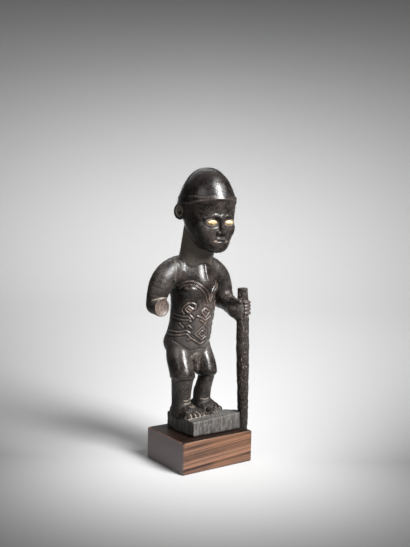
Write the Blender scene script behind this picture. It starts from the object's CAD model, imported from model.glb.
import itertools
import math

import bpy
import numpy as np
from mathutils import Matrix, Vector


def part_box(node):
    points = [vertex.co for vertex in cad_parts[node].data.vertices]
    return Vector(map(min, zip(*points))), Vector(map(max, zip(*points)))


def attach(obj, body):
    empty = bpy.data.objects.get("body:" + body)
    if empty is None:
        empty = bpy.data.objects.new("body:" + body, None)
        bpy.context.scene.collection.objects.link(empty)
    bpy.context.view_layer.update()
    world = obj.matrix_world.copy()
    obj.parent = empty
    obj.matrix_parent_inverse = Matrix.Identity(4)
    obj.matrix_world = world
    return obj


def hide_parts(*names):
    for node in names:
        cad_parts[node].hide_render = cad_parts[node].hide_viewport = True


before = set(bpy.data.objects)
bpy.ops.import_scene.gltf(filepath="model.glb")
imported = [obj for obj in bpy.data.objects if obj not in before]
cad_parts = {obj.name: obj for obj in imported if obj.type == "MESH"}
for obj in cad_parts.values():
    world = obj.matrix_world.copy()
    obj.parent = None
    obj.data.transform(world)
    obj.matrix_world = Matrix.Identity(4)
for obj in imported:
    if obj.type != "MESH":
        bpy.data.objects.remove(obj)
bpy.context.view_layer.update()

# The looks of a carved wooden standing figure of a man, about 180 mm high, on a rosewood base.
#
# The man, his staff and his plinth are one piece of wood. They are sculpted here as a distance
# field: round forms are melted into each other, scars, creases and cracks are cut into them, and
# the surface is then drawn off as one mesh. Sizes are in millimetres, in the frame's own axes.

import openvdb
from mathutils import Euler, Matrix, Vector

MM = 0.001  # metres

# Driving dimensions of the carving. u is the man's left and v his back, counted from his axis, and
# heights are absolute. A row of a section table is [height, u, v, half width, half depth], and a
# limb's points are [u, v, height, radius].

FIGURE = {"at": (-2.4, 10), "turn": math.radians(6)}
HEAD = {"at": (2.1, -12), "turn": math.radians(-8), "chin": 144.8, "hairline": 180.2, "crown": 201.3}
SIDES = (-1, 1)  # his right, then his left

TORSO = [
    [72, 0, 2.0, 12.4, 10.3],
    [80, -0.3, 3.0, 15.7, 13.1],
    [86, 0, 1.8, 15.7, 13.9],
    [93, 0, 0.2, 14.8, 14.2],
    [101, 0.3, -1.0, 14.6, 14.9],
    [109, 0.7, -1.2, 14.9, 15.0],
    [117, 0.5, -0.9, 15.7, 14.6],
    [125, 0, -0.7, 17.4, 13.6],
    [132, 0, -1.0, 17.0, 11.3],
    [139, 0, -1.9, 12.0, 8.8],
]
NECK = [
    [129, 0, -1.2, 12.6, 9.2],
    [136, 0, -3.2, 12.2, 9.8],
    [142, 0.2, -4.6, 12.0, 10.6],
    [152, 0.6, -7.0, 11.9, 11.4],
    [166, 1.4, -9.4, 11.8, 11.8],
]
STERNUM = [[0, -6.4, 136.5, 6.0], [0, -8.2, 130, 6.4], [0, -9.8, 124, 6.4], [0, -10.6, 119, 5.6]]
BREAST = [7.4, -9.2, 119.4, (7.6, 6.5, 5.0)]
BUTTOCK = [6.8, 8.2, 80.5, (8.6, 7.2, 9.0)]
SHOULDER_BLADE = [8.4, 8.6, 123, (5.6, 4.4, 7.4)]
SPINE = [[0, 14.0, 131, 1.6], [0, 15.4, 120, 1.8], [0, 15.6, 104, 1.8], [0, 16.6, 90, 1.6]]
CLEFT = [[0, 18.6, 86, 1.0], [0, 17.6, 80, 1.6], [0, 14.0, 72, 1.6]]
RIGHT_ARM = [
    [-6, 0, 137.5, 5.0],
    [-16, 0, 133.0, 7.6],
    [-24, 0.3, 126.0, 8.4],
    [-28.4, 0.9, 117.0, 7.2],
    [-29.8, 1.4, 109.4, 6.4],
]
STUMP = [[-29.8, 1.4, 109.4, 6.2], [-29.8, -4.8, 107.8, 6.1]]
BREAK = {"ahead": 6.0, "deep": 6.4, "spare": 2.3}  # the bite that ends the stump
LEFT_ARM = [
    [6, 0, 137.5, 5.0],
    [16, 0, 133.0, 7.6],
    [24, 0, 126.0, 8.5],
    [28.4, 0, 117.0, 7.8],
    [29.4, 0.5, 109.8, 6.8],
]
FOREARM = [[29.4, 0.6, 110, 6.4], [28.0, -7.5, 107.8, 6.2], [25.8, -14.5, 105.4, 5.8]]
FOREARM_EDGE = [
    [28.2, -7.4, 113.6, 1.0],
    [27.2, -11, 112.2, 0.9],
    [25, -16, 110.2, 0.8],
    [22.6, -20, 109.6, 0.8],
]
ELBOW_CHIPS = [29.4, -5.6, 112.8, (4.6, 2.2, 3.0)]
HAND = {  # counted from the middle of the grip on the staff
    "height": 106,
    "palm": [-3.0, 2.4, -1.4, (3.2, 5.4, 6.2)],
    "wrist": [-2.2, 5.2, -1.6, 5.4],
    "thumb": [[-1.8, 9, 5.0, 1.7], [-4.6, 3, 5.6, 1.6], [-4.9, -2.2, 5.0, 1.4]],
    "fingers": (4.2, 1.9, -0.4, -3.0),
    "finger radius": 1.15,
    "finger sink": 0.6,  # the part of its radius by which a finger sinks into the staff
    "finger reach": (-75, 112),
}
THIGH = [
    [0, 9.7, -3.6, 7.6, 8.9],
    [3, 9.9, -3.8, 7.9, 9.4],
    [11, 10.0, -0.9, 7.6, 9.7],
    [21, 9.3, 2.4, 6.8, 9.0],
    [31, 8.0, 3.8, 6.6, 8.7],
    [38, 6.6, 2.4, 6.4, 9.4],
]
SHIN = [
    [30, 8.5, -1.6, 6.6, 7.0],
    [38, 8.4, -1.6, 6.2, 6.2],
    [46, 8.6, -1.9, 6.2, 6.6],
    [52, 8.9, -2.9, 6.5, 7.1],
    [58, 9.4, -3.8, 6.9, 8.0],
    [66, 9.8, -3.2, 7.0, 8.0],
]
LEGS = [
    {
        "side": -1, "knee": 57.4, "slim": 1, "forward": 0, "apart": 0.3, "pinch": 0,
        "foot": [[7.4, -8.6, 3.8], [3, -8.6, 4.9], [-3.5, -7.8, 5.9], [-9, -7.1, 7.4], [-14, -6.3, 8.6]],
        "toe tips": [[-13.6, -17.4], [1.0, -18.3]],
    },
    {
        "side": 1, "knee": 58, "slim": 0.93, "forward": 0.8, "apart": 0.9, "pinch": 0.22,
        "foot": [[7.0, 8.4, 4.4], [3, 8.8, 5.9], [-3, 10.2, 7.2], [-8, 11.4, 8.2], [-12, 12.2, 8.6]],
        "toe tips": [[19.0, -13.0], [5.6, -19.0]],
    },
]
PINCH = {"height": 55.5, "reach": 5.0}  # where a leg is pinched in on its inner side
FOOT = {"rise": (5.0, 8.4, 9.6, 7.8, 5.6), "buried": 1, "edge": 0.2}  # it rises from heel to toes
TOE = {"count": 5, "length": 6, "radius": 1.8, "big toe": 0.3, "slope": 1.1, "rise": 0.75, "gather": 0.2}
TOE_BED = {"behind": 2.6, "rise": 0.8, "radius": 1.9}
ANKLE_CREASES = [
    [[-11, 42.6], [-8, 42.2], [-5, 43.6], [-2.4, 47.5]],
    [[-10.5, 40.4], [-7, 40.0], [-3, 41.4]],
    [[-8.5, 38.6], [-5.5, 38.2], [-2.6, 39.4]],
    [[5, 41.6], [8, 41.0], [11, 41.6]],
]
LOINS = {
    "mound": [-0.9, -5.6, 72.6, (5.6, 4.0, 4.2)],
    "member": [[-0.8, -5.8, 73, 3.4], [-0.4, -7.0, 68, 2.9], [-0.2, -7.2, 63.5, 2.3]],
    "fold": [[16, 84], [11.5, 79.8], [7.6, 77.2], [3, 77.6], [-1, 78]],
}

# The head's own u and v are counted from its upright axis. The face is a plain one, in thirds.
THIRD = (HEAD["hairline"] - HEAD["chin"]) / 3
BROW = HEAD["hairline"] - THIRD
NOSE = BROW - THIRD
MOUTH = NOSE - THIRD / 3
SKULL = [
    [146.2, 0, -9.0, 8.0, 7.8],
    [150, 0, -7.4, 11.2, 10.8],
    [156, 0, -5.0, 13.8, 13.6],
    [163, 0, -3.0, 15.6, 15.8],
    [171, 0, -1.2, 17.2, 18.6],
    [182, 0, -0.4, 18.4, 20.8],
]
EYE = {"apart": 6.4, "height": BROW - 3.6, "v": -16.6, "half": (3.7, 1.8, 1.9), "gap": 0.15}
LID = {"over": (0.7, 0.5, 0.8), "back": 0.4}  # how much larger than the eye, and how far behind it
FACE = {
    "cheek": [9.4, -12.0, BROW - 8, (4.2, 4.2, 4.0)],
    "socket": [EYE["apart"], -20.2, EYE["height"], (5.4, 3.0, 3.4)],
    "chin": [0, -13.2, HEAD["chin"] + 3.2, (6.4, 4.4, 3.4)],
    "muzzle": [0, -15.4, MOUTH, (6.4, 2.8, 3.8)],
    "nose": [[0, -18.2, BROW + 0.4, 1.6], [0, -19.4, BROW - 5, 1.6], [0, -20.4, NOSE + 2, 2.1]],
    "wing": [2.4, -19.2, NOSE + 1.5, (1.7, 1.8, 1.5)],
    "nostril": [1.5, -20.0, NOSE + 0.1, (0.7, 1.0, 0.7)],
    "brow": [[1.2, -18.6, BROW - 0.2, 1.1], [5.6, -18, BROW + 0.7, 1.3], [10.8, -15.2, BROW - 0.9, 1]],
    "upper lip": [[0, -18.4, MOUTH + 0.9, 1.2], [2.5, -17.9, MOUTH + 1, 1], [5, -16.2, MOUTH + 0.2, 0.7]],
    "lower lip": [
        [0, -17.8, MOUTH - 1.2, 1.2],
        [2.5, -17.2, MOUTH - 1.1, 1.1],
        [4.8, -15.9, MOUTH - 0.3, 0.7],
    ],
    "mouth": [
        [-4.8, -17.0, MOUTH - 0.2, 0.3],
        [0, -19.4, MOUTH - 0.2, 0.4],
        [4.8, -17.0, MOUTH - 0.2, 0.3],
    ],
}
EAR = {
    "apart": 17.6, "v": 5.2, "height": 171.6, "half": (2.2, 4.4, 5.6), "turn": math.radians(40),
    "hollow": (1.6, 2.7, 3.8), "lobe": (1.2, 1.0, 1.6),
    "lobe at": (0.4, -0.6, -1),  # its part of the way out to the ear's face, and mm back and up
}
COIFFURE = {
    "half": (19, 21.6),
    "curve": 1.42, "roundness": 0.43,  # of the dome: nearly straight sides and a round top
    "lip": 0.55, "tucked": 0.015,  # the lip's radius, and how far in from the edge its middle runs
    "edge": 0.3,
    "dip": 3.4,  # it hangs this much lower at the temples and the nape than at the brow
}

STAFF = [  # [x, y, height, radius]
    [25.9, -15.0, 21.5, 3.4],
    [25.8, -15.0, 33, 3.6],
    [25.2, -14.9, 56, 4.1],
    [24.6, -14.7, 80, 4.4],
    [24.2, -14.5, 100, 4.2],
    [23.8, -14.3, 119.5, 3.4],
]
STAFF_DISH = {"half": (6, 5.0)}  # across and down
PLINTH = {
    "corners": [[-16.1, -15.9], [25.5, -15.9], [26.3, -9.6], [18.2, -2.3], [15.8, 17.2], [-15.2, 18.2]],
    "foot": 21.5,
    "top": 31.8, "rise": 0.04,  # its height at the right foot, and its climb for each mm to the staff
    "edge": 0.5,
}

# Scars round the trunk, as lines of [degrees, height]. Degrees are counted to his left.
FRONT_SCARS = [
    [
        [-76, 121.7], [-63, 123.6], [-50, 124.8], [-38, 124.5],
        [-21, 122.4], [-4, 118.9], [3, 116], [7, 111.9],
    ],
    [
        [-73, 120.2], [-60, 122], [-50, 122.7], [-36, 122.4],
        [-22, 120.1], [-11, 116.7], [-4, 113.3], [0, 110.4],
    ],
    [[70, 123.6], [48, 124], [32, 122.1], [22, 120], [13, 116.8], [8, 112.4]],
    [[70, 121.8], [47, 122.2], [34, 120.2], [25, 117.4], [19, 114.6], [12, 110.4]],
    [[-27, 101.2], [-14, 100.1], [1, 98.2], [18, 100.8]],
    [[-17, 104], [-5, 106.3], [12, 104], [-1, 99.8], [-17, 104]],
    [[-15, 98.1], [5, 95.2], [9, 93.6]],
    [[7, 97.6], [-4, 93.3]],
    [[-4, 93.3], [-27, 88.7], [1, 83.8], [18, 86.6], [12, 90.4], [-4, 93.3]],
    [[-1, 91], [-14, 88.5], [0, 86.1], [11, 87.9], [-1, 91]],
    [[-26, 84.6], [1, 80.9], [17, 82.8]],
]
FLANK_SCARS = [  # on his right, and mirrored on his left
    [[-61, 105.8], [-51, 107.9], [-40, 106.1], [-50, 103.1], [-61, 105.8]],
    [[-53, 106.1], [-47, 105.4]],
    [[-63, 102.4], [-70, 105.1], [-64, 107.7], [-53, 109.8], [-42, 110.2], [-33, 108.4], [-35, 105.8]],
    [[-46, 101.9], [-36, 99.4]],
    [[-104, 102.4], [-87, 101.4], [-62, 100.6], [-51, 100.7], [-44, 99.3]],
    [[-107, 100.2], [-83, 99.0], [-61, 98.2], [-48, 98.4], [-42, 97.4]],
    [[-74, 96.2], [-60, 93.3]],
    [[-51, 93.7], [-46, 94.9], [-36, 92.5]],
    [[-112, 90.2], [-86, 89.9], [-65, 90.0], [-51, 91.0], [-39, 89.4]],
    [[-113, 88.0], [-89, 87.4], [-66, 87.8], [-48, 88.8], [-40, 87.2], [-37, 85.8]],
    [[-42, 84.5], [-37, 86.3], [-30, 85]],
]
SCAR = {"rise": 0.3, "half width": 0.5, "sink": 0.34, "groove at": 1.05, "groove width": 0.45}
HATCHED = {  # on the belly, from u and height
    "middle": (0, 102), "half": (7.5, 9), "stride": 1.5, "rise": 0.1,
    "bare": (0.55, 0.35),  # how bare it is worn, and how much more so on a stroke
}

# Cracks and creases on the front of the body, as lines of [u, height]
BREASTBONE_CRACK = [[0.3, 136.5], [-0.2, 131], [0.4, 125.5]]
SHOULDER_CRACK = [[-18.4, 139], [-20.2, 133], [-20.7, 127.3], [-18.8, 122]]
ELBOW_CREASE = [[-35, 113], [-32.3, 114.1], [-29.1, 114.5], [-24.5, 114]]


# Curves and noise

def smooth_rows(table, count=12):
    """The rows of a table with more rows between them, on a smooth curve through them all."""
    table = np.array(table, float)
    at = np.arange(len(table))
    slopes = np.gradient(table, axis=0)
    fine = np.linspace(0, len(table) - 1, (len(table) - 1) * count + 1)
    low = np.minimum(fine.astype(int), len(table) - 2)
    t = (fine - at[low])[:, None]
    start, end = table[low], table[low + 1]
    bend = (slopes[low] - (end - start)) * (1 - t) - (slopes[low + 1] - (end - start)) * t
    return start + (end - start) * t + bend * t * (1 - t)


def lumps(points, size, seed):
    """Smooth noise from -1 to 1, with lumps about size mm across."""
    span = 32
    lattice = np.random.default_rng(seed).uniform(-1, 1, (span,) * 3).astype(np.float32)
    cell = points / size
    low = np.floor(cell).astype(int)
    t = cell - low
    t = t * t * (3 - 2 * t)
    total = np.zeros(len(points), np.float32)
    for corner in itertools.product((0, 1), repeat=3):
        i, j, k = ((low + corner) % span).T
        total += np.prod(np.where(corner, t, 1 - t), axis=1) * lattice[i, j, k]
    return total


def from_segment(points, start, end):
    """How far points lie from a segment, and the part of its length at which they are nearest to it."""
    way = end - start
    t = np.clip((points - start) @ way / (way @ way), 0, 1)
    return np.linalg.norm(points - start - t[:, None] * way, axis=1), t


def from_line(points, line):
    return np.min([from_segment(points, a, b)[0] for a, b in zip(line, line[1:])], axis=0)


def seen_from(points, at, turn):
    """Points in the frame of something upright that stands at a place and is turned there."""
    x, y = points[:, 0] - at[0], points[:, 1] - at[1]
    c, s = math.cos(turn), math.sin(turn)
    return np.stack([c * x + s * y, c * y - s * x, points[:, 2]], axis=1)


# Forms. Each has a box and a function that says how far points lie outside it.

class Form:
    def __init__(self, lo, hi, outside):
        self.lo, self.hi, self.outside = np.array(lo, float), np.array(hi, float), outside


def melted(a, b, reach):
    """The lesser of two distances, with the crease between their forms filled over a reach."""
    overlap = np.maximum(reach - np.abs(a - b), 0) / reach
    return np.minimum(a, b) - overlap ** 2 * reach / 4


def capped(side, end, edge):
    """Outside either of two faces that meet in a rounded edge."""
    a, b = side + edge, end + edge
    return np.minimum(np.maximum(a, b), 0) + np.hypot(np.maximum(a, 0), np.maximum(b, 0)) - edge


def column(table, power, edge=1.5, axes=(0, 1, 2)):
    """A body of superellipse sections square to the last of its axes."""
    rows = smooth_rows(table)
    along, across = rows[:, 0], rows[:, 1:]
    order = np.argsort(axes)
    lo = np.array([(across[:, k] - across[:, k + 2]).min() for k in (0, 1)] + [along.min()])
    hi = np.array([(across[:, k] + across[:, k + 2]).max() for k in (0, 1)] + [along.max()])
    rising = np.argsort(along)

    def outside(p):
        x, y, z = p[:, axes[0]], p[:, axes[1]], p[:, axes[2]]
        u, v, a, b = (np.interp(z, along[rising], across[rising, k]) for k in range(4))
        x, y = x - u, y - v
        size = (np.abs(x / a) ** power + np.abs(y / b) ** power) ** (1 / power) + 1e-6
        side = np.hypot(x, y) * (1 - 1 / size)
        return capped(side, np.maximum(z - along.max(), along.min() - z), edge)

    return Form(lo[order], hi[order], outside)


def limb(points, count=4):
    """A round limb on a smooth curve through [u, v, height, radius] points."""
    rows = smooth_rows(points, count)
    centres, radii = rows[:, :3], rows[:, 3]

    def outside(p):
        nearest = np.full(len(p), np.inf)
        for start, end, r0, r1 in zip(centres, centres[1:], radii, radii[1:]):
            gap, t = from_segment(p, start, end)
            nearest = np.minimum(nearest, gap - r0 - (r1 - r0) * t)
        return nearest

    return Form((centres - radii[:, None]).min(0), (centres + radii[:, None]).max(0), outside)


def ball(u, v, height, half, turn=0.0):
    """An ellipsoid, which may be turned about the upright through its centre."""
    centre, half = np.array([u, v, height]), np.array(half, float)
    reach = np.array([max(half[:2])] * 2 + [half[2]]) if turn else half

    def outside(p):
        q = seen_from(p - [0, 0, height], (u, v), turn)
        size = np.linalg.norm(q / half, axis=1) + 1e-6
        slope = np.linalg.norm(q / half ** 2, axis=1) + 1e-6
        return size * (size - 1) / slope

    return Form(centre - reach, centre + reach, outside)


def mirrored(side, u, *rest):
    return [side * u, *rest]


# The clay: wood at many points at once

FAR = 6.0  # mm: outside every form's reach
SKIN = 3  # mm: only wood this near its surface is worked finely
FADE = {"added": 0.8, "cut": 0.4}  # mm over which an older form's marks give way to the new one's
MARKS = ("scar", "groove", "bare", "dust", "plinth", "crust", "matte")


class Clay:
    """How far each point lies outside the wood, and how much of each mark the wood bears there."""

    def __init__(self, points):
        body = seen_from(points, FIGURE["at"], FIGURE["turn"])
        self.places = {"base": points, "body": body, "head": seen_from(body, HEAD["at"], HEAD["turn"])}
        self.out = np.full(len(points), FAR)
        self.marks = {name: np.zeros(len(points)) for name in MARKS}

    def near(self, place, form, reach):
        p = self.places[place]
        chosen = np.flatnonzero(np.all((p > form.lo - reach) & (p < form.hi + reach), axis=1))
        return chosen, p[chosen]

    def add(self, place, form, melt, **marks):
        chosen, p = self.near(place, form, max(FAR, melt))
        before, new = self.out[chosen], form.outside(p)
        self.out[chosen] = melted(before, new, melt)
        taken = np.clip(0.5 + (before - new) / FADE["added"], 0, 1)
        for name, held in self.marks.items():
            held[chosen] += (marks.get(name, 0) - held[chosen]) * taken

    def cut(self, place, form, melt, **marks):
        chosen, p = self.near(place, form, melt + 1)
        before, new = self.out[chosen], -form.outside(p)
        self.out[chosen] = -melted(-before, -new, melt)
        taken = np.clip(0.5 + (new - before) / FADE["cut"], 0, 1)
        for name, amount in marks.items():
            self.marks[name][chosen] += (amount - self.marks[name][chosen]) * taken

    def raise_by(self, chosen, height):
        self.out[chosen] -= height


# The scars, as a map of the trunk's skin rolled out flat

class ScarMap:
    """Heights of the scars and the grooves beside them, over the trunk's skin rolled out flat."""

    radius = 15.2  # mm: the trunk's mean radius
    step = 0.2  # mm from cell to cell
    low, high = 77.0, 128.0  # the heights between which there are scars

    def __init__(self):
        lines = FRONT_SCARS + FLANK_SCARS
        lines = lines + [[[-degrees, height] for degrees, height in line] for line in FLANK_SCARS]
        half = math.pi * self.radius
        self.width = int(2 * half / self.step)
        s = (np.arange(self.width) + 0.5) * self.step - half
        z = np.arange(self.low, self.high, self.step)
        skin = np.stack(np.meshgrid(s, z, indexing="ij"), axis=-1).reshape(-1, 2)
        gap = np.full(len(skin), FAR)
        for line in lines:
            way = smooth_rows(line, 4) if len(line) > 3 and line[0] != line[-1] else np.array(line)
            way = np.stack([np.radians(way[:, 0]) * self.radius, way[:, 1]], axis=1)
            gap = np.minimum(gap, from_line(skin, way))
        gap = gap.reshape(self.width, -1)
        self.ridge = np.exp(-((gap / SCAR["half width"]) ** 2))
        self.groove = np.exp(-(((gap - SCAR["groove at"]) / SCAR["groove width"]) ** 2))

    def at(self, body_points):
        """The ridge and the groove, each from 0 to 1, at points about the body's axis."""
        rows = smooth_rows(TORSO)
        u, v = (np.interp(body_points[:, 2], rows[:, 0], rows[:, k]) for k in (1, 2))
        angle = np.arctan2(body_points[:, 0] - u, v - body_points[:, 1])
        i = (angle * self.radius / self.step + self.width / 2 - 0.5) % self.width
        j = np.clip((body_points[:, 2] - self.low) / self.step, 0, self.ridge.shape[1] - 1.001)
        i0, j0 = i.astype(int), j.astype(int)
        i1 = (i0 + 1) % self.width
        s, t = i - i0, j - j0

        def read(field):
            low = field[i0, j0] * (1 - s) + field[i1, j0] * s
            high = field[i0, j0 + 1] * (1 - s) + field[i1, j0 + 1] * s
            return low * (1 - t) + high * t

        return read(self.ridge), read(self.groove)


SCARS = ScarMap()


# The man

def trunk(clay):
    clay.add("body", column(TORSO, 2.2), 1)
    for side in SIDES:
        clay.add("body", ball(*mirrored(side, *BUTTOCK)), 3)
        clay.add("body", ball(*mirrored(side, *BREAST)), 2.4)
        clay.add("body", ball(*mirrored(side, *SHOULDER_BLADE)), 4)
    clay.add("body", limb(STERNUM), 6)
    clay.cut("body", limb(SPINE), 3)
    clay.cut("body", limb(CLEFT), 1.5)
    chosen = np.flatnonzero(np.abs(clay.out) < SKIN)
    ridge, groove = SCARS.at(clay.places["body"][chosen])
    clay.raise_by(chosen, SCAR["rise"] * ridge - SCAR["sink"] * groove)
    clay.marks["scar"][chosen] = ridge
    clay.marks["groove"][chosen] = groove
    hatched_field(clay, chosen)


def hatched_field(clay, chosen):
    """Worn strokes across the middle of the belly."""
    u, v, z = clay.places["body"][chosen].T
    (middle, height), (across, up) = HATCHED["middle"], HATCHED["half"]
    worn = np.exp(-(((u - middle) / across) ** 2) - ((z - height) / up) ** 2) * (v < 0)
    stroke = np.sin((u + z) * 2 * math.pi / HATCHED["stride"])
    bare, more = HATCHED["bare"]
    clay.raise_by(chosen, HATCHED["rise"] * stroke * worn)
    clay.marks["bare"][chosen] = worn * (bare + more * stroke)


def neck_and_arms(clay):
    clay.add("body", limb(RIGHT_ARM), 3, matte=0.5)
    clay.add("body", limb(LEFT_ARM), 3, matte=0.5)
    clay.add("body", column(NECK, 2.2), 0.9, matte=0.7, dust=0.26)


def stump(clay):
    """The right forearm is broken off, with a crease round it above the elbow."""
    u, v, height, radius = STUMP[-1]
    clay.add("body", limb(STUMP), 1.2, matte=0.5)
    wide = radius + BREAK["spare"]
    clay.cut("body", ball(u, v - BREAK["ahead"], height, (wide, BREAK["deep"], wide)), 0.5, bare=1)
    score(clay, ELBOW_CREASE, 0.35, 0.25, dust=0.7)


def cracks(clay):
    score(clay, BREASTBONE_CRACK, 0.3, 0.4, groove=1)
    score(clay, SHOULDER_CRACK, 0.22, 0.2, dust=0.35)


def left_hand(clay):
    grip = staff_at(HAND["height"])
    centre = np.array([grip[0], grip[1], HAND["height"], 0])
    u, v, rise, half = HAND["palm"]
    clay.add("body", limb(FOREARM + [list(centre + HAND["wrist"])]), 3, crust=0.6)
    clay.add("body", ball(grip[0] + u, grip[1] + v, HAND["height"] + rise, half), 2.5, crust=0.6)
    clay.add("body", limb(FOREARM_EDGE), 0.9, bare=0.7)
    clay.add("body", ball(*ELBOW_CHIPS), 1.2, bare=0.6, crust=1)
    clay.add("body", limb([list(centre + point) for point in HAND["thumb"]]), 0.7, crust=0.4)
    for rise in HAND["fingers"]:
        height = HAND["height"] + rise
        x, y, radius = staff_at(height)
        thick = HAND["finger radius"]
        reach = radius + (1 - HAND["finger sink"]) * thick
        angles = np.radians(np.linspace(*HAND["finger reach"], 7))
        bend = [[x + reach * math.cos(a), y - reach * math.sin(a), height, thick] for a in angles]
        clay.add("body", limb(bend, 1), 0.35, bare=0.25)


def staff_at(height):
    """The staff's u, v and radius at a height, about the body's axis."""
    rows = smooth_rows([[row[2], row[0], row[1], row[3]] for row in STAFF])
    x, y, radius = (np.interp(height, rows[:, 0], rows[:, k]) for k in (1, 2, 3))
    u, v, _ = seen_from(np.array([[x, y, height]]), FIGURE["at"], FIGURE["turn"])[0]
    return u, v, radius


def standing(form, ground):
    """A form cut off level at the ground."""
    lo = np.array([form.lo[0], form.lo[1], ground])
    return Form(lo, form.hi, lambda p: capped(form.outside(p), ground - p[:, 2], FOOT["edge"]))


def leg(clay, own):
    """A shin under the ledge of a thigh, and a foot that stands on the plinth."""
    knee, slim = own["knee"], own["slim"]

    def placed(height, u, v, a, b):
        taken = own["pinch"] * math.exp(-(((height - PINCH["height"]) / PINCH["reach"]) ** 2))
        u, v = own["side"] * (u + taken * a / 2), v - own["forward"] - taken * b / 2
        return [height, u, v, a * (1 - taken), b * (1 - taken)]

    shorter = 1 - (knee - LEGS[0]["knee"]) / THIGH[-1][0]
    shin = [placed(height, u + own["apart"], v, a * slim, b * slim) for height, u, v, a, b in SHIN]
    thigh = [placed(knee + rise * shorter, u, v, a, b) for rise, u, v, a, b in THIGH]
    clay.add("body", column(shin, 2.4), 0.8, crust=0.3)
    clay.add("body", column(thigh, 2.3, edge=0.7), 0.7)
    ground = PLINTH["top"] - FOOT["buried"]
    rises = np.array(FOOT["rise"]) + FOOT["buried"]
    sole = [[v, u, ground, half, rise] for (v, u, half), rise in zip(own["foot"], rises)]
    clay.add("body", standing(column(sole, 2.3, edge=2, axes=(0, 2, 1)), ground), 2, crust=1.1, groove=0.6)
    toes(clay, *own["toe tips"])


def toes(clay, little, big):
    """Toes in a row, on a bed of dust that shows between them."""
    tips = np.linspace(little, big, TOE["count"])
    bed = [[u, v + TOE_BED["behind"], PLINTH["top"] + TOE_BED["rise"], TOE_BED["radius"]] for u, v in tips]
    clay.add("body", limb(bed, 1), 1, dust=0.9)
    middle = tips[:, 0].mean()
    for t, (u, v) in zip(np.linspace(0, 1, TOE["count"]), tips):
        radius = TOE["radius"] + TOE["big toe"] * t ** 3
        height = PLINTH["top"] + TOE["rise"] * radius
        root = [u + (middle - u) * TOE["gather"], v + TOE["length"], height + TOE["slope"], radius]
        clay.add("body", limb([root, [u, v + radius, height, radius]], 1), 0.2, crust=1.1, groove=0.3)


def loins(clay):
    for side in SIDES:
        score(clay, [mirrored(side, *point) for point in LOINS["fold"]], 0.6, 0.4, groove=0.4)
    clay.add("body", ball(*LOINS["mound"]), 0.6, crust=1, bare=0.2, matte=1)
    clay.add("body", limb(LOINS["member"]), 0.8, crust=0.8, bare=0.1, matte=1)


def score(clay, line, width, depth, **marks):
    """Scores a line of [u, height] into the front of the body."""
    line = np.array(line, float)
    lo, hi = line.min(0) - 3 * width, line.max(0) + 3 * width
    u, v, z = clay.places["body"].T
    near = (u > lo[0]) & (u < hi[0]) & (z > lo[1]) & (z < hi[1]) & (v < 0) & (np.abs(clay.out) < SKIN)
    chosen = np.flatnonzero(near)
    gap = from_line(clay.places["body"][chosen][:, [0, 2]], line)
    dent = np.exp(-((gap / width) ** 2))
    clay.raise_by(chosen, -depth * dent)
    for name, amount in marks.items():
        clay.marks[name][chosen] = np.maximum(clay.marks[name][chosen], amount * dent)


# The head

def hanging(p):
    """How far points are out from the coiffure's axis, and their height on it. It hangs lower behind."""
    half, hairline = COIFFURE["half"], HEAD["hairline"]
    u, v, z = p.T
    forward = np.clip(-v / half[1], 0, 1)
    low = np.clip(1 - (z - hairline) / (HEAD["crown"] - hairline), 0, 1)
    return np.hypot(u / half[0], v / half[1]) + 1e-6, z + COIFFURE["dip"] * low * (1 - forward ** 2)


def dome():
    """The domed cap of hair."""
    half, curve, rate = COIFFURE["half"], COIFFURE["curve"], 1 / COIFFURE["roundness"]
    lip, hairline = COIFFURE["lip"], HEAD["hairline"]
    height = HEAD["crown"] - hairline

    def outside(p):
        size, z = hanging(p)
        t = np.clip((z - hairline) / height, 1e-4, None)
        spread = np.hypot(p[:, 0] / half[0] ** 2, p[:, 1] / half[1] ** 2)
        slope_across = rate * size ** (rate - 1) * spread / size
        slope_up = curve * t ** (curve - 1) / height
        side = (size ** rate + t ** curve - 1) / (np.hypot(slope_across, slope_up) + 1e-3)
        return capped(side, hairline - lip - z, COIFFURE["edge"])

    reach = np.array(half) + lip
    return Form([*-reach, hairline - lip - COIFFURE["dip"]], [*reach, HEAD["crown"]], outside)


def rim():
    """The lip round the cap's edge."""
    lip, hairline = COIFFURE["lip"], HEAD["hairline"]

    def outside(p):
        size, z = hanging(p)
        inward = 1 - COIFFURE["tucked"]
        return np.hypot((size - inward) * np.hypot(p[:, 0], p[:, 1]) / size, z - hairline) - lip

    reach = np.array(COIFFURE["half"]) + lip
    return Form([*-reach, hairline - lip - COIFFURE["dip"]], [*reach, hairline + lip], outside)


def ear(clay, side):
    """An ear is a disc that stands off from the head and faces half forward, with a hollow in it."""
    turn = -side * EAR["turn"]
    u, v, height, (thick, deep, tall) = side * EAR["apart"], EAR["v"], EAR["height"], EAR["half"]
    out = side * thick * np.array([math.cos(turn), math.sin(turn)])
    clay.add("head", ball(u, v, height, (thick, deep, tall), turn), 0.8)
    clay.cut("head", ball(u + out[0], v + out[1], height, EAR["hollow"], turn), 0.4, dust=0.3)
    outward, back, up = EAR["lobe at"]
    clay.add("head", ball(u + outward * out[0], v + back, height + up, EAR["lobe"], turn), 0.5)


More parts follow.
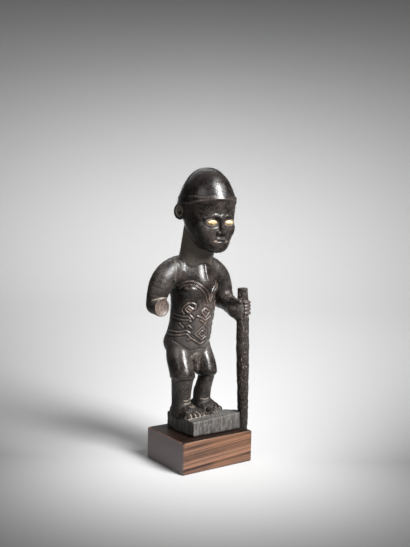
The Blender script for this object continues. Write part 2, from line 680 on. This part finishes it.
def face(clay):
    for side in SIDES:
        clay.add("head", ball(*mirrored(side, *FACE["cheek"])), 4, matte=1)
        clay.cut("head", ball(*mirrored(side, *FACE["socket"])), 2, matte=1.4)
    clay.add("head", ball(*FACE["chin"]), 2.5)
    clay.add("head", ball(*FACE["muzzle"]), 2.5)
    clay.add("head", limb(FACE["nose"]), 1.4, matte=1.5)
    for side in SIDES:
        clay.add("head", limb([mirrored(side, *point) for point in FACE["brow"]]), 1.2, matte=1.2)
        clay.add("head", ball(*mirrored(side, *FACE["wing"])), 0.7)
        clay.cut("head", ball(*mirrored(side, *FACE["nostril"])), 0.3)
        for name in ("upper lip", "lower lip"):
            lip = limb([mirrored(side, *point) for point in FACE[name]])
            clay.add("head", lip, 0.5, bare=0.12, matte=1.3)
    clay.cut("head", limb(FACE["mouth"]), 0.5, bare=0, groove=1)


def eye_sockets(clay):
    for side in SIDES:
        u, v, height, half = side * EYE["apart"], EYE["v"], EYE["height"], EYE["half"]
        lid = [size + over for size, over in zip(half, LID["over"])]
        clay.add("head", ball(u, v + LID["back"], height, lid), 1.5, matte=1.4)
        clay.cut("head", ball(u, v, height, [size + EYE["gap"] for size in half]), 0.2, groove=0.5)


def head(clay):
    clay.add("head", column(SKULL, 2.3), 1.2)
    face(clay)
    eye_sockets(clay)
    for side in SIDES:
        ear(clay, side)
    clay.add("head", dome(), 0.6, groove=0.88)
    clay.add("head", rim(), 0.7, bare=0.5)


# The plinth and the staff

def staff(clay):
    """Its top is dished."""
    clay.add("base", limb(STAFF), 0.8, crust=1, groove=0.35)
    x, y, height, _ = STAFF[-1]
    wide, deep = STAFF_DISH["half"]
    clay.cut("base", ball(x, y, height + deep, (wide, wide, deep)), 0.8)


def plinth():
    corners = np.array(PLINTH["corners"])
    outline = np.vstack([corners, corners[:1]])

    def outside(p):
        near = from_line(p[:, :2], outline)
        inside = np.zeros(len(p), bool)
        for a, b in zip(outline, outline[1:]):
            spans = (a[1] > p[:, 1]) != (b[1] > p[:, 1])
            with np.errstate(divide="ignore", invalid="ignore"):
                crossing = a[0] + (p[:, 1] - a[1]) * (b[0] - a[0]) / (b[1] - a[1])
            inside ^= spans & (p[:, 0] < crossing)
        side = np.where(inside, -near, near)
        top = PLINTH["top"] + PLINTH["rise"] * (p[:, 0] - corners[0, 0])
        return capped(side, np.maximum(p[:, 2] - top, PLINTH["foot"] - p[:, 2]), PLINTH["edge"])

    lo, hi = corners.min(0), corners.max(0)
    return Form([*lo, PLINTH["foot"]], [*hi, PLINTH["top"] + 3], outside)


# Layers of lumps, as (rise, size, squeeze, seed). A squeeze under 1 draws the lumps out upwards.
FACETS = [(0.14, 6.5, 1, 1), (0.05, 2.2, 1, 2)]
HEWN = [(0.22, 3.4, 1, 3), (0.12, 1.3, 0.4, 4)]
CRUSTY = [(0.26, 1.6, 0.7, 5)]
PLINTH_GAP = {"height": 0.9, "depth": 1.1, "least": 0.6, "lumps": 7, "seed": 6}


def relief(p, layers):
    return sum(rise * lumps(p * [1, 1, squeeze], size, seed) for rise, size, squeeze, seed in layers)


def tool_marks(clay):
    """The knife leaves faint facets. The plinth is hewn more roughly, and gapes a little at its foot."""
    chosen = np.flatnonzero(np.abs(clay.out) < SKIN)
    p = clay.places["base"][chosen]
    rough = clay.marks["plinth"][chosen]
    low = np.exp(-(((p[:, 2] - PLINTH["foot"]) / PLINTH_GAP["height"]) ** 2))
    gap = low * (PLINTH_GAP["least"] + lumps(p, PLINTH_GAP["lumps"], PLINTH_GAP["seed"]))
    cut = relief(p, HEWN) - PLINTH_GAP["depth"] * gap
    crusty = relief(p, CRUSTY) * clay.marks["crust"][chosen]
    clay.raise_by(chosen, relief(p, FACETS) * (1 - rough) + cut * rough + crusty)


def carve(points):
    clay = Clay(points)
    trunk(clay)
    neck_and_arms(clay)
    stump(clay)
    cracks(clay)
    for own in LEGS:
        leg(clay, own)
    for line in ANKLE_CREASES:
        score(clay, line, 0.3, 0.25, dust=0.6)
    loins(clay)
    head(clay)
    clay.add("base", plinth(), 0.5, plinth=1)
    staff(clay)
    left_hand(clay)
    tool_marks(clay)
    return clay


# From the clay to a mesh

GRID = 0.42  # mm between the points at which the clay is read
BLOCK = 6  # points along a block's side
SPARE = 1.2  # mm by which the clay's distances may be out
BATCH = 300_000  # points read at a time
MOST_TRIANGLES = 190_000


def outside(points):
    return np.concatenate([carve(points[i:i + BATCH]).out for i in range(0, len(points), BATCH)])


def cells(count):
    """The numbers along three axes of every cell in a block of so many."""
    return np.stack(np.meshgrid(*[np.arange(n) for n in count], indexing="ij"), axis=-1).reshape(-1, 3)


def field_around(lo, hi):
    """The clay's distances on a fine grid from lo. Blocks far from the skin hold one value."""
    side = BLOCK * GRID
    count = np.ceil((hi - lo) / side).astype(int)
    blocks = cells(count)
    middle = outside(lo + (blocks + 0.5) * side)
    field = np.repeat(np.sign(middle) * FAR, BLOCK ** 3).astype(np.float32).reshape(-1, BLOCK ** 3)
    near = np.flatnonzero(np.abs(middle) < side * math.sqrt(3) / 2 + SPARE)
    points = lo + (blocks[near, None] * BLOCK + cells([BLOCK] * 3) + 0.5) * GRID
    field[near] = outside(points.reshape(-1, 3)).reshape(len(near), -1)
    field = field.reshape(*count, BLOCK, BLOCK, BLOCK).transpose(0, 3, 1, 4, 2, 5)
    return np.ascontiguousarray(field.reshape(count * BLOCK))


def slope(points):
    """The clay's distance at points, and the direction in which it grows."""
    step = 0.05  # mm
    here = outside(points)
    return here, np.stack([(outside(points + step * axis) - here) / step for axis in np.eye(3)], axis=1)


def onto_skin(points):
    flattest = 0.5  # slope
    for _ in range(2):
        here, grows = slope(points)
        move = here / np.maximum((grows ** 2).sum(1), flattest ** 2)
        points = points - np.clip(move, -GRID / 2, GRID / 2)[:, None] * grows
    return points


def draw_off(lo, hi):
    grid = openvdb.FloatGrid(FAR)
    grid.copyFromArray(field_around(lo, hi))
    points, _, quads = grid.convertToPolygons(isovalue=0.0)
    points = onto_skin(lo + (points.astype(float) + 0.5) * GRID)
    mesh = bpy.data.meshes.new("carved_wood")
    mesh.from_pydata(points * MM, [], quads)
    return mesh


def thinned(mesh, most):
    """The mesh with no more triangles than that, and with fewer where it is plain."""
    mesh.calc_loop_triangles()
    piece = bpy.data.objects.new("full", mesh)
    bpy.context.scene.collection.objects.link(piece)
    fewer = piece.modifiers.new("fewer", "DECIMATE")
    fewer.ratio = min(1, most / len(mesh.loop_triangles))
    made = bpy.data.meshes.new_from_object(piece.evaluated_get(bpy.context.evaluated_depsgraph_get()))
    bpy.data.objects.remove(piece)
    bpy.data.meshes.remove(mesh)
    return made


def write_marks(mesh):
    """Keeps the clay's marks on the mesh, with how hollow and how sharp it is, for the materials."""
    probe = 0.9  # mm out from the skin, and in
    points, normals = np.empty((2, len(mesh.vertices), 3))
    mesh.vertices.foreach_get("co", points.ravel())
    mesh.vertices.foreach_get("normal", normals.ravel())
    points /= MM
    marks = carve(points).marks
    marks["crease"] = np.clip(1 - outside(points + probe * normals) / probe, 0, 1)
    marks["edge"] = np.clip(1 + outside(points - probe * normals) / probe, 0, 1)
    for name, values in marks.items():
        layer = mesh.attributes.new(name, "FLOAT", "POINT")
        layer.data.foreach_set("value", values.astype(np.float32))


def linked(name, mesh, material):
    piece = bpy.data.objects.new(name, mesh)
    bpy.context.scene.collection.objects.link(piece)
    mesh.materials.append(material)
    mesh.shade_smooth()
    return piece


def lathed(profile, around):
    """Points and faces of a round skin over rings of (radius, height). A radius of 0 gives one point."""
    points, rings, faces = [], [], []
    for radius, height in profile:
        count = around if radius else 1
        rings.append(range(len(points), len(points) + count))
        turns = np.linspace(0, 2 * math.pi, count, endpoint=False)
        points += [(radius * math.cos(a), radius * math.sin(a), height) for a in turns]
    for low, high in zip(rings, rings[1:]):
        for j in range(around):
            near = [low[k % len(low)] for k in (j, j + 1)]
            far = [high[k % len(high)] for k in (j + 1, j)]
            faces.append(tuple(dict.fromkeys(near + far)))
    return np.array(points), faces


def carved_wood(material):
    lo, hi = (np.array(corner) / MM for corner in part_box("carved_figure"))
    margin = 2
    mesh = thinned(draw_off(lo - margin, hi + margin), MOST_TRIANGLES)
    write_marks(mesh)
    piece = linked("carved_wood", mesh, material)
    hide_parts("carved_figure")
    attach(piece, "root")
    return piece


# Materials

class Shader:
    """A material with one principled surface, and short ways to its nodes."""

    def __init__(self, name, **surface):
        self.material = bpy.data.materials.new(name)
        self.material.use_nodes = True
        self.tree = self.material.node_tree
        self.surface = self.tree.nodes["Principled BSDF"]
        self.place = self.node("ShaderNodeTexCoord").outputs["Object"]
        self.colour = None
        for socket, value in surface.items():
            self.surface.inputs[socket.replace("_", " ")].default_value = value

    def put(self, socket, value):
        if isinstance(value, bpy.types.NodeSocket):
            self.tree.links.new(value, socket)
        elif value is not None:
            socket.default_value = value

    def node(self, kind, inputs=(), **settings):
        made = self.tree.nodes.new(kind)
        for name, value in settings.items():
            setattr(made, name, value)
        for name, value in dict(inputs).items():
            self.put(made.inputs[name], value)
        return made

    def maths(self, operation, a, b=None, clamp=False):
        return self.node("ShaderNodeMath", {0: a, 1: b}, operation=operation, use_clamp=clamp).outputs[0]

    def times(self, a, b):
        return self.maths("MULTIPLY", a, b)

    def parts(self, vector):
        return self.node("ShaderNodeSeparateXYZ", {"Vector": vector}).outputs

    def mark(self, name):
        return self.node("ShaderNodeAttribute", attribute_name=name).outputs["Fac"]

    def noise(self, size, detail=4, stretch=(1, 1, 1), roughness=0.55):
        """Noise with lumps of a size in mm, stretched along the axes."""
        placed = self.node("ShaderNodeMapping", {"Vector": self.place, "Scale": [1 / s for s in stretch]})
        values = {"Vector": placed.outputs[0], "Scale": 1 / (size * MM), "Detail": detail}
        return self.node("ShaderNodeTexNoise", {**values, "Roughness": roughness}).outputs["Fac"]

    def between(self, value, low, high, to_low=0.0, to_high=1.0):
        """A value brought smoothly from one range to another."""
        inputs = {"Value": value, "From Min": low, "From Max": high, "To Min": to_low, "To Max": to_high}
        return self.node("ShaderNodeMapRange", inputs, interpolation_type="SMOOTHSTEP").outputs["Result"]

    def mix(self, amount, a, b):
        made = self.node("ShaderNodeMix", data_type="RGBA")
        colours = [socket for socket in made.inputs if socket.type == "RGBA"]
        self.put(made.inputs[0], amount)
        for socket, colour in zip(colours, (a, b)):
            self.put(socket, colour if isinstance(colour, bpy.types.NodeSocket) else (*colour, 1))
        return next(socket for socket in made.outputs if socket.type == "RGBA")

    def coat(self, amount, colour):
        """Lays another colour over what is there, by an amount from 0 to 1."""
        self.colour = self.mix(amount, self.colour, colour)

    def finish(self, roughness, height, depth, specular=None):
        """Gives the surface its colour, roughness and gloss, and a bump of so many mm."""
        bump = self.node("ShaderNodeBump", {"Height": height, "Distance": depth * MM, "Strength": 1.0})
        looks = {"Base Color": self.colour, "Roughness": roughness, "Normal": bump.outputs[0]}
        for socket, value in {**looks, "Specular IOR Level": specular}.items():
            self.put(self.surface.inputs[socket], value)
        return self.material


# The dark wood's colours. A pair is a darkest and a palest one, with all those between them.
PATINA = [(0.006, 0.005, 0.0046), (0.030, 0.025, 0.023)]
BELLY = (0.12, 0.11, 0.104)
MOTTLE = (0.078, 0.06, 0.05)
GRAIN = (0.05, 0.033, 0.025)
CRUST = [(0.006, 0.0048, 0.0042), (0.045, 0.035, 0.029)]
FLECK = (0.24, 0.205, 0.175)
BARE = [(0.055, 0.034, 0.027), (0.19, 0.145, 0.12)]
RUBBED = [(0.11, 0.05, 0.034), (0.26, 0.20, 0.165)]
WORN_EDGE = (0.24, 0.185, 0.15)
LOW = (0.008, 0.006, 0.005)
DIRT = [(0.055, 0.04, 0.03), (0.40, 0.33, 0.27)]
DUST = (0.38, 0.32, 0.26)
GROOVE = (0.003, 0.002, 0.002)
HEWN_WOOD = [(0.036, 0.034, 0.0325), (0.085, 0.08, 0.076)]
HEWN_SCRAPE = (0.2, 0.165, 0.14)


def patina(s, height, grain, patches, mottle, crust):
    """Black and brown in patches, greyer on the belly, and crusted and flecked on staff and feet."""
    s.colour = s.mix(s.between(patches, 0.4, 0.62), *PATINA)
    belly = s.times(s.between(height, 0.116, 0.096), s.between(height, 0.066, 0.084, 0, 0.4))
    s.coat(belly, BELLY)
    s.coat(s.between(mottle, 0.5, 0.66, 0, 0.6), MOTTLE)
    s.coat(s.between(grain, 0.55, 0.75, 0, 0.4), GRAIN)
    s.coat(s.times(crust, 0.7), s.mix(s.between(mottle, 0.42, 0.6), *CRUST))
    flecks = s.times(crust, s.between(s.noise(1.0, 3, (1, 1, 1.6)), 0.58, 0.66, 0, 0.8))
    s.coat(flecks, FLECK)


def wear(s, grain, patches, mottle, specks):
    """Bare wood at the break and the chips, rubbed scars, and worn edges."""
    bare = s.times(s.mark("bare"), s.between(specks, 0.25, 0.7, 0.3, 1.0))
    s.coat(bare, s.mix(s.between(grain, 0.4, 0.6), *BARE))
    rubbed = s.times(s.mark("scar"), s.between(patches, 0.38, 0.62, 0.1, 0.65))
    s.coat(rubbed, s.mix(s.between(mottle, 0.4, 0.6), *RUBBED))
    worn = s.times(s.between(s.mark("edge"), 0.45, 0.95), s.between(specks, 0.3, 0.65, 0.2, 0.9))
    s.coat(worn, WORN_EDGE)


def soiling(s, low, dust, mottle):
    """The feet are darker, and pale dirt lies in their creases. Grooves are black."""
    s.coat(s.times(low, 0.6), LOW)
    dirt = s.times(s.between(s.mark("crease"), 0.3, 0.7, 0, 0.85), s.between(mottle, 0.35, 0.55))
    s.coat(dirt, s.mix(low, *DIRT))
    s.coat(dust, DUST)
    s.coat(s.times(s.mark("groove"), 0.75), GROOVE)


def hewn(s, patches):
    """The plinth is greyer, with upright streaks and scrapes."""
    streaked = s.mix(s.between(s.noise(1.3, 4, (1, 1, 7)), 0.38, 0.62), *HEWN_WOOD)
    scrapes = s.between(s.noise(1.0, 4, (1, 1, 2.5)), 0.58, 0.68, 0, 0.7)
    part = s.times(s.mark("plinth"), s.between(patches, 0.3, 0.6, 0.65, 1))
    s.coat(part, s.mix(scrapes, streaked, HEWN_SCRAPE))


def dark_wood():
    """A black-brown patina, glossy where it is handled, with dust in the hollows and wear on the relief."""
    s = Shader("dark_wood", IOR=1.45)
    height = s.parts(s.place)["Z"]
    grain = s.noise(0.5, 5, (1, 1, 12))
    patches = s.noise(9, 4)
    mottle = s.noise(1.4, 5, roughness=0.7)
    specks = s.noise(0.7, 3)
    crust, matte = s.mark("crust"), s.mark("matte")
    low = s.between(height, 0.05, 0.042)
    dust = s.times(s.mark("dust"), s.between(specks, 0.3, 0.6, 0.4, 1.0))
    patina(s, height, grain, patches, mottle, crust)
    wear(s, grain, patches, mottle, specks)
    soiling(s, low, dust, mottle)
    hewn(s, patches)
    dry = s.between(s.maths("MAXIMUM", crust, matte), 0.75, 1.1, 0.5, 0.2)
    dull = s.times(s.mark("scar"), 0.5)
    for other in (dust, s.mark("plinth"), low, s.times(crust, 0.7), matte):
        dull = s.maths("MAXIMUM", dull, other)
    gloss = s.between(s.noise(3, 4), 0.35, 0.65, 0.22, 0.33)
    roughness = s.maths("ADD", gloss, s.times(dull, 0.3), clamp=True)
    pores = s.maths("ADD", s.noise(1.1, 5, (1, 1, 3)), s.times(s.noise(0.4, 3, (1, 1, 6)), 0.4))
    return s.finish(roughness, s.times(pores, s.maths("ADD", dull, 0.35)), 0.2, dry)


STRIPES = [(0.026, 0.014, 0.011), (0.178, 0.092, 0.058)]
STRIPE_LEAN = {"X": -0.07, "Y": 0.35, "wander": 4, "for each metre": 420}  # the wander is in mm
BASE_PORE = (0.014, 0.007, 0.005)
BASE_RED = (0.18, 0.085, 0.042)
END_GRAIN = [(0.09, 0.074, 0.072), (0.172, 0.144, 0.140)]
BASE_TOP = (0.0045, 0.0024, 0.0021)


def rosewood():
    """Dark stripes run along the base. Its top is darker, and its ends show the plain end grain."""
    s = Shader("rosewood", IOR=1.33)
    place = s.parts(s.place)
    layers = s.maths("ADD", place["Z"], s.times(place["X"], STRIPE_LEAN["X"]))
    layers = s.maths("ADD", layers, s.times(place["Y"], STRIPE_LEAN["Y"]))
    layers = s.maths("ADD", layers, s.times(s.noise(30, 3, (6, 1, 1)), STRIPE_LEAN["wander"] * MM))
    along = {"W": s.times(layers, STRIPE_LEAN["for each metre"]), "Scale": 1, "Detail": 3, "Roughness": 0.7}
    stripe = s.node("ShaderNodeTexNoise", along, noise_dimensions="1D").outputs["Fac"]
    pores = s.noise(0.28, 3, (26, 1, 1))
    s.colour = s.mix(s.between(stripe, 0.38, 0.64), *STRIPES)
    s.coat(s.between(pores, 0.5, 0.72, 0, 0.6), BASE_PORE)
    s.coat(s.between(s.noise(14, 2, (3, 1, 1)), 0.4, 0.7, 0, 0.4), BASE_RED)
    facing = s.parts(s.node("ShaderNodeTexCoord").outputs["Normal"])
    end = s.between(s.maths("ABSOLUTE", facing["X"]), 0.6, 0.9)
    s.coat(end, s.mix(s.noise(0.5, 4), *END_GRAIN))
    s.coat(s.between(facing["Z"], 0.6, 0.9, 0, 0.94), BASE_TOP)
    polish = s.between(facing["Z"], 0.6, 0.9, 0.5, 0.2)
    return s.finish(s.between(pores, 0.3, 0.8, 0.3, 0.48), pores, 0.08, polish)


SHELL = [(0.30, 0.20, 0.09), (0.60, 0.48, 0.28)]
SHELL_CHIP = (0.08, 0.04, 0.02)


def inlay():
    """Pale shell with brown stains and a few dark chips."""
    s = Shader("inlay", Subsurface_Weight=0.05)
    stain = s.noise(1.5, 4)
    s.colour = s.mix(s.between(stain, 0.4, 0.62), *SHELL)
    s.coat(s.between(s.noise(0.8, 3), 0.62, 0.72), SHELL_CHIP)
    return s.finish(s.between(stain, 0.3, 0.7, 0.35, 0.55), stain, 0.1)


# The paper's own direction, how its lit pool opens, and the pool's and the wall's reach in metres
PAPER = {"turn": math.radians(35), "opening": 5.0, "pool": 0.2, "wall": 1.0}
LIT, UNLIT = (0.42, 0.42, 0.42), (0.05, 0.05, 0.05)


def backdrop():
    """Pale paper, lit in a pool that opens towards the back, and falling off to grey above."""
    s = Shader("backdrop", Specular_IOR_Level=0.1)
    c, d = math.cos(PAPER["turn"]), math.sin(PAPER["turn"])
    along, across = (
        s.node("ShaderNodeVectorMath", {0: s.place, 1: way}, operation="DOT_PRODUCT").outputs["Value"]
        for way in ((d, c, 0), (c, -d, 0))
    )
    opening = s.maths("ADD", s.times(s.maths("MAXIMUM", along, 0.0), PAPER["opening"]), 1.0)
    aside = s.maths("DIVIDE", across, opening)
    front = s.maths("MINIMUM", along, 0.0)
    off = s.maths("SQRT", s.maths("ADD", s.times(aside, aside), s.times(front, front)))
    s.colour = s.mix(s.between(off, -0.01, PAPER["pool"]), LIT, UNLIT)
    s.coat(s.between(s.parts(s.place)["Z"], -0.1, PAPER["wall"]), UNLIT)
    return s.finish(0.9, s.noise(3, 2), 0.0)


# The eyes and the base

INLAY_WEAR = {"part": 0.02, "size": 0.9, "seed": 10}  # as a part of the inlay's size, in lumps of mm
BASE_EDGE = 0.3  # mm


def eye_inlay(side, material):
    """A lens of shell in its socket. Its face is worn a little unevenly."""
    node = {-1: "right_eye_inlay", 1: "left_eye_inlay"}[side]
    mesh = bpy.data.meshes.new(node)
    rows, columns = 24, 40
    between = np.linspace(-math.pi / 2, math.pi / 2, rows + 1)[1:-1]
    unit, faces = lathed([(0, -1), *((math.cos(a), math.sin(a)) for a in between), (0, 1)], columns)
    own = unit * EYE["half"]
    worn = INLAY_WEAR["part"] * lumps(own, INLAY_WEAR["size"], INLAY_WEAR["seed"] + side)
    own = own * (1 + worn)[:, None] + [side * EYE["apart"], EYE["v"], EYE["height"]]
    points = stood_at(stood_at(own, HEAD["at"], HEAD["turn"]), FIGURE["at"], FIGURE["turn"])
    mesh.from_pydata(points * MM, [], faces)
    piece = linked(node.replace("inlay", "shell"), mesh, material)
    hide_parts(node)
    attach(piece, "root")


def stood_at(points, at, turn):
    """The other way round from seen_from."""
    c, s = math.cos(turn), math.sin(turn)
    x, y = points[:, 0], points[:, 1]
    return np.stack([c * x - s * y + at[0], s * x + c * y + at[1], points[:, 2]], axis=1)


def rosewood_base(material):
    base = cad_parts["rosewood_base"]
    base.data.materials.clear()
    base.data.materials.append(material)
    softer = base.modifiers.new("softer edges", "BEVEL")
    softer.width = BASE_EDGE * MM
    softer.segments = 3


# The studio. The camera's place is that of the photograph.

CAMERA = {
    "at": (-297.7, -421.2, 175.1), "lens": 50.0,
    "yaw": math.radians(35.43), "down": math.radians(5.04), "roll": math.radians(1.135),
}


def camera():
    turned = Euler((math.pi / 2 - CAMERA["down"], 0, -CAMERA["yaw"])).to_matrix().to_4x4()
    made = bpy.data.objects.new("camera", bpy.data.cameras.new("camera"))
    made.data.lens = CAMERA["lens"]
    made.data.clip_start = 0.01
    rolled = turned @ Matrix.Rotation(CAMERA["roll"], 4, "Z")
    made.matrix_world = Matrix.Translation([c * MM for c in CAMERA["at"]]) @ rolled
    bpy.context.scene.collection.objects.link(made)
    bpy.context.scene.camera = made


MIDDLE = (0, 0, 0.1)  # metres: what the lamps aim at
LAMPS = [  # [name, azimuth, elevation, metres off, width, height, watts, aim], in degrees and metres
    ["key", 14, 40, 1.3, 0.46, 0.9, 60, MIDDLE],
    ["broad", 34, 46, 1.4, 0.7, 0.7, 6, MIDDLE],
    ["fill", -75, 30, 1.5, 0.9, 0.9, 6, MIDDLE],
    ["back", 170, 50, 1.6, 1.2, 1.2, 5, MIDDLE],
    ["wall", 144.6, 55, 1.5, 0.9, 0.9, 23, (1.2, 1.7, 0.3)],
]
SKY = {"Color": (0.95, 0.97, 1, 1), "Strength": 0.13}


def softbox(name, azimuth, elevation, distance, width, height, power, aim):
    """An area light. Azimuth 0 is in front of the man's middle, and 90 on his left."""
    a, e = math.radians(azimuth), math.radians(elevation)
    toward = np.array([math.sin(a) * math.cos(e), -math.cos(a) * math.cos(e), math.sin(e)])
    lamp = bpy.data.lights.new(name, "AREA")
    lamp.shape = "RECTANGLE"
    lamp.size = width
    lamp.size_y = height
    lamp.energy = power
    made = bpy.data.objects.new(name, lamp)
    made.location = MIDDLE + toward * distance
    made.rotation_euler = (made.location - Vector(aim)).to_track_quat("Z", "Y").to_euler()
    bpy.context.scene.collection.objects.link(made)


def sweep(material):
    """A round floor whose edge curves up into a pale wall on every side."""
    floor, bend, wall = 0.9, 1.2, 3.0  # metres
    arc = [(floor + bend * math.sin(a), bend * (1 - math.cos(a))) for a in np.linspace(0, math.pi / 2, 13)]
    flat = [(0, 0), (0.02, 0)] + [(r, 0) for r in np.linspace(0.1, floor, 8)[:-1]]
    profile = flat + arc + [(floor + bend, wall)]
    points, faces = lathed(profile[::-1], 64)
    mesh = bpy.data.meshes.new("sweep")
    mesh.from_pydata(points, [], faces)
    piece = linked("sweep", mesh, material)


def light():
    for lamp in LAMPS:
        softbox(*lamp)
    world = bpy.data.worlds.new("studio")
    world.use_nodes = True
    for socket, value in SKY.items():
        world.node_tree.nodes["Background"].inputs[socket].default_value = value
    bpy.context.scene.world = world
    bpy.context.scene.view_settings.view_transform = "Standard"


camera()
light()
sweep(backdrop())
carved_wood(dark_wood())
for side in SIDES:
    eye_inlay(side, inlay())
rosewood_base(rosewood())
